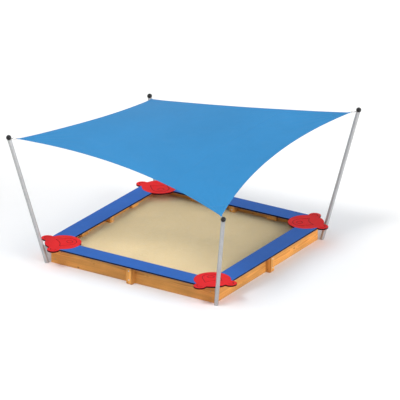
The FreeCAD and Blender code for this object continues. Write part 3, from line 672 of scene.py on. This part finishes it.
def hem_depth(t):
    """Width of the hem in sail coordinates, mitred on the diagonals."""
    return min(HEM_W / MEAN_XY * HEM_SCALE, 1.0 - abs(t))


def hem(side, material):
    """A folded hem along one edge, from tip to tip."""
    steps = [-HEM_END + 2.0 * HEM_END * i / (HEM_STEPS - 1) for i in range(HEM_STEPS)]
    points, uvs = [], []
    for t in steps:
        for share, lift in HEM_SECTION:
            u, v = edge_place(side, t, share * hem_depth(t))
            points.append(cloth_point(u, v, lift))
            uvs.append(flat_place(u, v))
    made = piece("sail_hem_" + side, points, tube_faces(HEM_STEPS, len(HEM_SECTION)), material,
                 uvs)
    for corner in CORNERS:
        trim_tip(made, corner, closed=True)
    return made


# A doubled strip on the top face: (distance across as a share of the seam, height above the cloth)
SEAM_SECTION = [(-0.5, 0.0004), (-0.49, 0.0009), (-0.40, SEAM_RISE), (0.40, SEAM_RISE), (0.49, 0.0009),
                (0.5, 0.0004)]


def seam(name, at, material):
    """A felled seam between two widths of fabric."""
    width = SEAM_W / MEAN_XY
    steps = [-SEAM_END + 2.0 * SEAM_END * i / (HEM_STEPS - 1) for i in range(HEM_STEPS)]
    places = [(at + share * width, t, lift) for t in steps for share, lift in SEAM_SECTION]
    return piece(name, [cloth_point(u, t, lift) for u, t, lift in places],
                 tube_faces(HEM_STEPS, len(SEAM_SECTION)), material,
                 [flat_place(u, t) for u, t, _ in places])


def corner_patch(corner, material):
    """Two more layers of fabric at a tip, above and below, with a straight inner edge."""
    sx, sy = CORNERS[corner]
    rows, columns = PATCH_ROWS, PATCH_COLUMNS
    made = []
    for face in (1.0, -1.0):
        start = len(made)
        for i in range(columns):
            share = i / (columns - 1)
            for j in range(rows):
                reach = PATCH_REACH * (PATCH_TIP + (1.0 - PATCH_TIP) * j / (rows - 1))
                outer = face * (PATCH_RISE if j < rows - 1 else PATCH_EDGE_RISE)
                made.append((sx * (1.0 - reach * share), sy * (1.0 - reach * (1.0 - share)), outer))
        if face > 0:
            faces = grid_faces(columns, rows, start)
        else:
            faces += [tuple(reversed(f)) for f in grid_faces(columns, rows, start)]
    if sx * sy > 0:
        faces = [tuple(reversed(f)) for f in faces]
    half = rows * columns
    rim = [i * rows + rows - 1 for i in range(columns)]
    rim += [(columns - 1) * rows + j for j in reversed(range(rows - 1))]
    rim += [i * rows for i in reversed(range(columns - 1))]
    rim += [j for j in range(1, rows - 1)]
    for a, b in zip(rim, rim[1:] + rim[:1]):
        faces.append((a, b, b + half, a + half) if sx * sy < 0 else (b, a, a + half, b + half))
    patch = piece("sail_patch_" + corner, [cloth_point(*p) for p in made], faces, material,
                  [flat_place(u, v) for u, v, _ in made])
    trim_tip(patch, corner, closed=True)
    return patch


# ---------------------------------------------------------------------------
# Webbing and stitches
# ---------------------------------------------------------------------------

def webbing_path(corner):
    """Middle line of the webbing: up one face, round the ring's bar and back on the other face."""
    def level(distance, lift):
        return on_diagonal(corner, distance + BAR_INSIDE_TIP, lift)
    tails = [WEB_TAIL - (WEB_TAIL - SPREAD_START) * i / WEB_STEPS for i in range(WEB_STEPS + 1)]
    top = [level(d, WEB_LIFT) for d in tails]
    top.append(level(SPREAD_MIDDLE, 0.5 * (WEB_LIFT + BAR_WRAP_R)))
    bar = level(0.0, 0.0)
    outward = (bar - level(0.02, 0.0)).normalized()
    rise = outward.cross(UP.cross(outward)).normalized()
    bend = [bar + BAR_WRAP_R * (rise * math.cos(a) + outward * math.sin(a))
            for a in (math.pi * i / BEND_STEPS for i in range(BEND_STEPS + 1))]
    under = [level(d, -WEB_LIFT) for d in tails]
    under.append(level(SPREAD_MIDDLE, -0.5 * (WEB_LIFT + BAR_WRAP_R)))
    return top + bend + under[::-1]


# Outline of the strap: (across as a share of half its width, up as a share of half its thickness)
WEB_SECTION = [(-1.0, 0.0), (-0.985, 0.5), (-0.93, 0.95), (-0.5, 1.0), (0.0, 1.0), (0.5, 1.0), (0.93, 0.95),
               (0.985, 0.5), (1.0, 0.0), (0.985, -0.5), (0.93, -0.95), (0.5, -1.0), (0.0, -1.0), (-0.5, -1.0),
               (-0.93, -0.95), (-0.985, -0.5)]


def webbing(corner, material):
    """Flat strap sewn on both faces of the tip, with the ring's bar in its loop."""
    path = webbing_path(corner)
    lateral = UP.cross(diagonal(corner)).normalized()
    points, uvs, run = [], [], 0.0
    for i, place in enumerate(path):
        ahead, behind = path[min(i + 1, len(path) - 1)], path[max(i - 1, 0)]
        normal = lateral.cross((ahead - behind).normalized()).normalized()
        run += (place - behind).length
        for across, thick in WEB_SECTION:
            points.append(place + lateral * across * WEB_HALF_W + normal * thick * WEB_T / 2.0)
            uvs.append((run, across * WEB_HALF_W))
    return piece("corner_webbing_" + corner, points, tube_faces(len(path), len(WEB_SECTION)), material,
                 uvs)


# Rings of thread: (along as a share of the stitch, height and width in thread radii)
STITCH_RINGS = [(-0.5, -0.9, 0.55), (-0.36, 0.35, 1.0), (0.0, 0.65, 1.0), (0.36, 0.35, 1.0),
                (0.5, -0.9, 0.55)]
STITCH_SIDES = 5


def stitch(start, end, normal, points, faces):
    """One thread stitch that dives into the cloth at both ends."""
    first = len(points)
    middle, run = (start + end) / 2.0, end - start
    side = run.normalized().cross(normal)
    for along, height, width in STITCH_RINGS:
        centre = middle + run * along + normal * height * THREAD_R
        for k in range(STITCH_SIDES):
            angle = 2.0 * math.pi * k / STITCH_SIDES
            points.append(centre + THREAD_R * width * (side * math.cos(angle) + normal * math.sin(angle)))
    faces.extend(tube_faces(len(STITCH_RINGS), STITCH_SIDES, first))


def stitch_row(place, count, lift, points, faces):
    """Stitches along a line on the cloth; place gives a cloth point from a share of the line and a lift."""
    share = STITCH_LENGTH / STITCH_PITCH
    for i in range(count):
        for face in (1.0, -1.0):
            start = place((i + 0.5 - share / 2.0) / count, face * lift)
            end = place((i + 0.5 + share / 2.0) / count, face * lift)
            outside = place((i + 0.5) / count, face * (lift + 0.001))
            stitch(start, end, (outside - (start + end) / 2.0).normalized(), points, faces)


def hem_stitches(side, material):
    """Two rows of stitches along a hem."""
    points, faces = [], []
    count = round(SAIL_SIDE / STITCH_PITCH)
    for share in HEM_ROWS:
        def place(along, lift, share=share):
            t = HEM_ROW_END * (2.0 * along - 1.0)
            return cloth_point(*edge_place(side, t, share * hem_depth(t)), lift)
        stitch_row(place, count, HEM_RISE, points, faces)
    return piece("hem_stitches_" + side, points, faces, material)


def seam_stitches(name, at, material):
    """Two rows of stitches along a seam, which is a tenth shorter than the side of the square."""
    points, faces = [], []
    count = round(0.9 * SAIL_SIDE / STITCH_PITCH)
    for share in SEAM_ROWS:
        def place(along, lift, share=share):
            return cloth_point(at + share * SEAM_W / MEAN_XY, SEAM_ROW_END * (2.0 * along - 1.0), lift)
        stitch_row(place, count, SEAM_RISE, points, faces)
    return piece(name, points, faces, material)


def corner_stitches(corner, material):
    """Two rows along the reinforcement's edge, and a box with a cross on the webbing."""
    sx, sy = CORNERS[corner]
    points, faces = [], []
    for inside in (0.004, 0.010):
        def place(along, lift, inside=inside):
            reach = PATCH_REACH - inside * 1.4 / MEAN_XY
            share = 0.13 + 0.74 * along
            return cloth_point(sx * (1.0 - reach * share), sy * (1.0 - reach * (1.0 - share)), lift)
        stitch_row(place, PATCH_STITCHES, PATCH_RISE, points, faces)
    far = WEB_TAIL - 0.002
    wide = WEB_HALF_W * BOX_SHARE
    box = [(BOX_START, -wide), (far, -wide), (far, wide), (BOX_START, wide)]
    lines = list(zip(box, box[1:] + box[:1])) + [(box[0], box[2]), (box[1], box[3])]
    for (d0, s0), (d1, s1) in lines:
        def place(along, lift, d0=d0, s0=s0, d1=d1, s1=s1):
            return on_diagonal(corner, d0 + (d1 - d0) * along, lift, s0 + (s1 - s0) * along)
        count = max(3, round(math.hypot(d1 - d0, s1 - s0) / STITCH_PITCH * 1.5))
        stitch_row(place, count, WEB_LIFT + WEB_T / 2.0, points, faces)
    return piece("corner_stitches_" + corner, points, faces, material)


# ---------------------------------------------------------------------------
# Sand
# ---------------------------------------------------------------------------

def sand_height(x, y):
    """Lightly used sand: slow swells, short ripples in patches, and crumbs."""
    swell = noise.fractal((0.9 * x, 0.9 * y, 2.0), 1.0, 2.0, 3)
    patch = max(0.0, noise.noise((0.7 * x + 9.0, 0.7 * y, 1.0)) + 0.15)
    bend = 0.35 * noise.noise((1.1 * x, 1.1 * y, 7.0))
    ripple = math.sin(2.0 * math.pi * (0.35 * x + y + bend) / RIPPLE_PITCH) * patch
    crumbs = noise.noise((26.0 * x, 26.0 * y, 3.0))
    return SAND_SWELL * swell + SAND_RIPPLE * ripple + SAND_CRUMB * crumbs


def sand_bed(material):
    """A closed bed of sand with an uneven top, inside the boards."""
    low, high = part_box("sand_fill")
    xs = [low.x + (high.x - low.x) * i / (SAND_GRID - 1) for i in range(SAND_GRID)]
    ys = [low.y + (high.y - low.y) * i / (SAND_GRID - 1) for i in range(SAND_GRID)]
    points = [Vector((x, y, high.z + sand_height(x, y))) for x in xs for y in ys]
    faces = grid_faces(SAND_GRID, SAND_GRID)
    top = len(points)
    rim = [i * SAND_GRID for i in range(SAND_GRID)]
    rim += [(SAND_GRID - 1) * SAND_GRID + j for j in range(1, SAND_GRID)]
    rim += [i * SAND_GRID + SAND_GRID - 1 for i in reversed(range(SAND_GRID - 1))]
    rim += [j for j in reversed(range(1, SAND_GRID - 1))]
    points += [Vector((points[k].x, points[k].y, low.z + SAND_BASE)) for k in rim]
    count = len(rim)
    for i, k in enumerate(rim):
        after = (i + 1) % count
        faces.append((rim[after], k, top + i, top + after))
    faces.append(tuple(top + i for i in reversed(range(count))))
    bed = piece("sand_bed", points, faces, material)
    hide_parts("sand_fill")
    return bed


# ---------------------------------------------------------------------------
# Putting the object together
# ---------------------------------------------------------------------------

def dress(nodes, material):
    """Give CAD nodes a finish."""
    for name in nodes:
        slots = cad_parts[name].data.materials
        slots.clear()
        slots.append(material)


def nodes_named(start):
    return sorted(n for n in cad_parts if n.startswith(start))


def random_knots(seed, length, height, count):
    """Knots spread over a board face, as (along, across, radius)."""
    draw = random.Random(seed)
    return [(draw.uniform(-0.46, 0.46) * length, draw.uniform(-0.36, 0.36) * height,
             draw.uniform(0.004, 0.0085)) for _ in range(count)]


BOARD_KNOTS = {"front": [(-0.992, -0.118, 0.010)], "right": [(0.785, -0.044, 0.011)], "back": [], "left": []}
BOARD_PITHS = {"front": (0.035, 0.085), "right": (-0.045, -0.090),
               "back": (-0.02, -0.10), "left": (0.06, 0.09)}


def dress_timber():
    """Each board, post and set of blocks is a different piece of wood."""
    for number, side in enumerate(SIDES):
        along = "X" if side in ("front", "back") else "Y"
        knots = BOARD_KNOTS[side] + random_knots(number + 3, BOARD_LENGTH, BOARD_HEIGHT, 4)
        board = ["side_board_" + side]
        dress(board, timber("pine_board_" + side, board, along, BOARD_PITHS[side], knots))
        for kind in ("outer_post_", "inner_post_"):
            post = [kind + side]
            knots = random_knots(number + 20 + len(kind), POST_HEIGHT, POST_WIDTH, 1)
            dress(post, timber("pine_" + kind + side, post, "Z", (0.03 - 0.015 * number, 0.055), knots))
        blocks = ["seat_blocks_" + side]
        dress(blocks, timber("pine_blocks_" + side, blocks, along, (0.05, 0.06), []))


def dress_fittings():
    """Seats, corner seats, steel and plastic."""
    seats = nodes_named("seat_board_")
    dress(seats, two_colour_sheet("blue_sheet", seats, SEAT_BLUE))
    bears = [n for n in nodes_named("corner_seat_") if n != "corner_seat_screws"]
    dress(bears, two_colour_sheet("red_sheet", bears, BEAR_RED))
    zinc_dip = galvanised("galvanised_steel")
    dress(nodes_named("sail_pole_") + nodes_named("corner_bracket_") + ["pole_head_plates"], zinc_dip)
    zinc_plate = plated_steel("zinc_plate", ZINC_PLATE, 0.32, 0.4)
    dress(["ball_cap_studs", "post_bolts", "post_nuts", "seat_screws", "corner_seat_screws"], zinc_plate)
    yellow_zinc = plated_steel("yellow_zinc", YELLOW_ZINC, 0.38, 0.4)
    dress(["bracket_bolts", "bracket_nuts", "block_screws"], yellow_zinc)
    stainless = plated_steel("stainless_steel", STAINLESS, 0.16, 0.25)
    dress(nodes_named("carabiner_") + ["sail_rings"], stainless)
    caps = [n for n in nodes_named("ball_cap_") if n != "ball_cap_studs"]
    dress(caps, moulded_black("ball_plastic", 0.24))
    dress(["pole_base_plugs"], moulded_black("plug_plastic", 0.46))


def make_sail():
    """Cloth, hems, seams, patches, webbing and thread."""
    fabric = woven("sail_fabric", SAIL_BLUE, glow=SAIL_GLOW)
    folded = woven("sail_fabric_folded", tuple(0.94 * c for c in SAIL_BLUE), glow=0.0)
    strap = webbing_finish("sail_webbing", WEBBING_BLUE)
    thread = thread_finish("sail_thread", THREAD_BLUE)
    cloth = sail_cloth(fabric)
    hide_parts("shade_sail")
    trims = [hem(side, folded) for side in SIDES]
    trims += [hem_stitches(side, thread) for side in SIDES]
    for name, at in (("left", -SEAM_AT), ("right", SEAM_AT)):
        trims.append(seam("sail_seam_" + name, at, folded))
        trims.append(seam_stitches("seam_stitches_" + name, at, thread))
    straps = [webbing(corner, strap) for corner in CORNERS]
    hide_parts("sail_corner_tabs")
    for corner in CORNERS:
        trims.append(corner_patch(corner, folded))
        trims.append(corner_stitches(corner, thread))


def make_floor():
    """A wide floor just under the object's feet."""
    half = FLOOR_SIZE / 2.0
    mesh = bpy.data.meshes.new("floor")
    corners = [(-half, -half), (half, -half), (half, half), (-half, half)]
    mesh.from_pydata([(x, y, -FLOOR_DROP) for x, y in corners], [], [(0, 1, 2, 3)])
    mesh.materials.append(floor_finish())
    floor = bpy.data.objects.new("floor", mesh)
    bpy.context.scene.collection.objects.link(floor)


def direction(azimuth, elevation):
    """Unit vector towards a place round the object; azimuth 0 is in front, 90 to the right."""
    a, e = math.radians(azimuth), math.radians(elevation)
    return Vector((math.sin(a) * math.cos(e), -math.cos(a) * math.cos(e), math.sin(e)))


def make_lamp(name, kind, strength):
    """A lamp in the scene; its size and place are set by the caller."""
    light = bpy.data.lights.new(name, kind)
    light.energy = strength
    lamp = bpy.data.objects.new(name, light)
    bpy.context.scene.collection.objects.link(lamp)
    return lamp


def make_light():
    """White studio that darkens towards its ceiling, three soft boxes and a lamp under the sail."""
    world = bpy.data.worlds.new("studio")
    bpy.context.scene.world = world
    world.use_nodes = True
    tree = world.node_tree
    height = tree.nodes.new("ShaderNodeSeparateXYZ")
    fade = tree.nodes.new("ShaderNodeMapRange")
    fade.interpolation_type = "SMOOTHSTEP"
    for socket, value in zip(fade.inputs[1:5], (*SKY_FADE, SKY_LOW, SKY_HIGH)):
        socket.default_value = value
    tree.links.new(tree.nodes.new("ShaderNodeTexCoord").outputs["Generated"], height.inputs[0])
    tree.links.new(height.outputs["Z"], fade.inputs[0])
    tree.links.new(fade.outputs[0], tree.nodes["Background"].inputs["Strength"])
    tree.nodes["Background"].inputs["Color"].default_value = (1.0, 1.0, 1.0, 1.0)
    for name, (azimuth, elevation, strength, spread) in LAMPS.items():
        lamp = make_lamp(name, "SUN", strength)
        lamp.data.angle = math.radians(spread)
        lamp.rotation_euler = direction(azimuth, elevation).to_track_quat("Z", "Y").to_euler()
    under = make_lamp("under_sail_softbox", "AREA", UNDER_POWER)
    under.data.shape = "SQUARE"
    under.data.size = UNDER_SIZE
    under.location = (0.0, 0.0, UNDER_HEIGHT)
    bpy.context.scene.view_settings.view_transform = "Standard"


def make_camera():
    """A distant camera with a long lens, at the photograph's viewing angle."""
    data = bpy.data.cameras.new("camera")
    data.lens = VIEW_LENS
    data.sensor_width = SENSOR_WIDTH
    data.clip_start = CLIP_START
    data.clip_end = CLIP_END
    camera = bpy.data.objects.new("camera", data)
    bpy.context.scene.collection.objects.link(camera)
    back = direction(VIEW_AZIMUTH, VIEW_ELEVATION)
    camera.location = VIEW_TARGET + back * VIEW_DISTANCE
    camera.rotation_euler = (-back).to_track_quat("-Z", "Y").to_euler()
    bpy.context.scene.camera = camera


make_camera()
make_light()
make_floor()
dress_timber()
dress_fittings()
make_sail()
sand_bed(play_sand("play_sand"))
